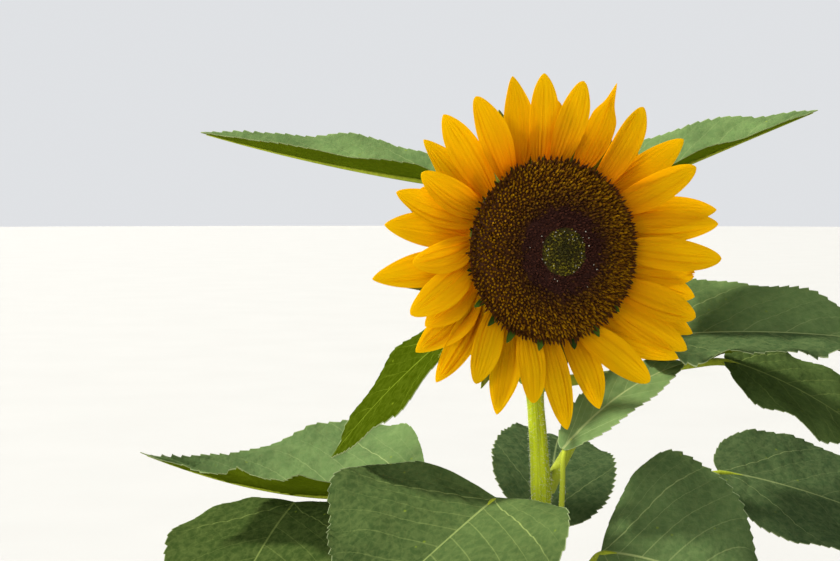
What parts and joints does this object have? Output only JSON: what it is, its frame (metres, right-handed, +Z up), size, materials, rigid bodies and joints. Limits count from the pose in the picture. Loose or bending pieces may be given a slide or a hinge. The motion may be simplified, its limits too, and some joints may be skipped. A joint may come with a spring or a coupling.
{
  "type": "sunflower plant",
  "caption": "Sunflower in flower: ribbed stem with root flare, stalked heart-shaped leaves, green cup with bracts, rings of ray petals and a domed seed disc.",
  "frame": {"origin": "centre of the flat cut under the main stem, at ground level", "axes": "+Z up along the stem, the flower head looks toward -Y turned 22 degrees toward +X, +X to the right of someone facing the flower"},
  "size_m": [0.5476, 0.5646, 1.346],
  "materials": {
    "stem_green": "hairy, matte",
    "leaf_green": "rough, matte",
    "bract_green": "hairy, matte",
    "petal_yellow": "soft sheen",
    "floret_brown": "stippled, matte",
    "floret_dark": "stippled, matte",
    "floret_olive": "stippled, matte"
  },
  "bodies": {
    "root": {"stem": "stem_green", "neck": "stem_green", "receptacle": "bract_green", "bracts": "bract_green", "ray_petals_front": "petal_yellow", "ray_petals_middle": "petal_yellow", "ray_petals_back": "petal_yellow", "rim_florets": "floret_brown", "dark_florets": "floret_dark", "bud_florets": "floret_olive", "leaf_upper_left": "leaf_green", "leaf_upper_right": "leaf_green", "leaf_mid_left": "leaf_green", "leaf_right_far": "leaf_green", "leaf_right_broad": "leaf_green", "leaf_low_left": "leaf_green", "leaf_front": "leaf_green", "leaf_right_small": "leaf_green", "leaf_right_front": "leaf_green", "leaf_back": "leaf_green", "leaf_right_shade": "leaf_green", "leaf_left_shade": "leaf_green", "leaf_lower_01": "leaf_green", "leaf_lower_02": "leaf_green", "leaf_lower_03": "leaf_green", "leaf_lower_04": "leaf_green", "leaf_lower_05": "leaf_green", "leaf_lower_06": "leaf_green", "leaf_lower_07": "leaf_green", "leaf_lower_08": "leaf_green", "leaf_lower_09": "leaf_green", "leaf_lower_10": "leaf_green", "leaf_lower_11": "leaf_green", "leaf_lower_12": "leaf_green", "leaf_lower_13": "leaf_green"}
  },
  "joints": []
}
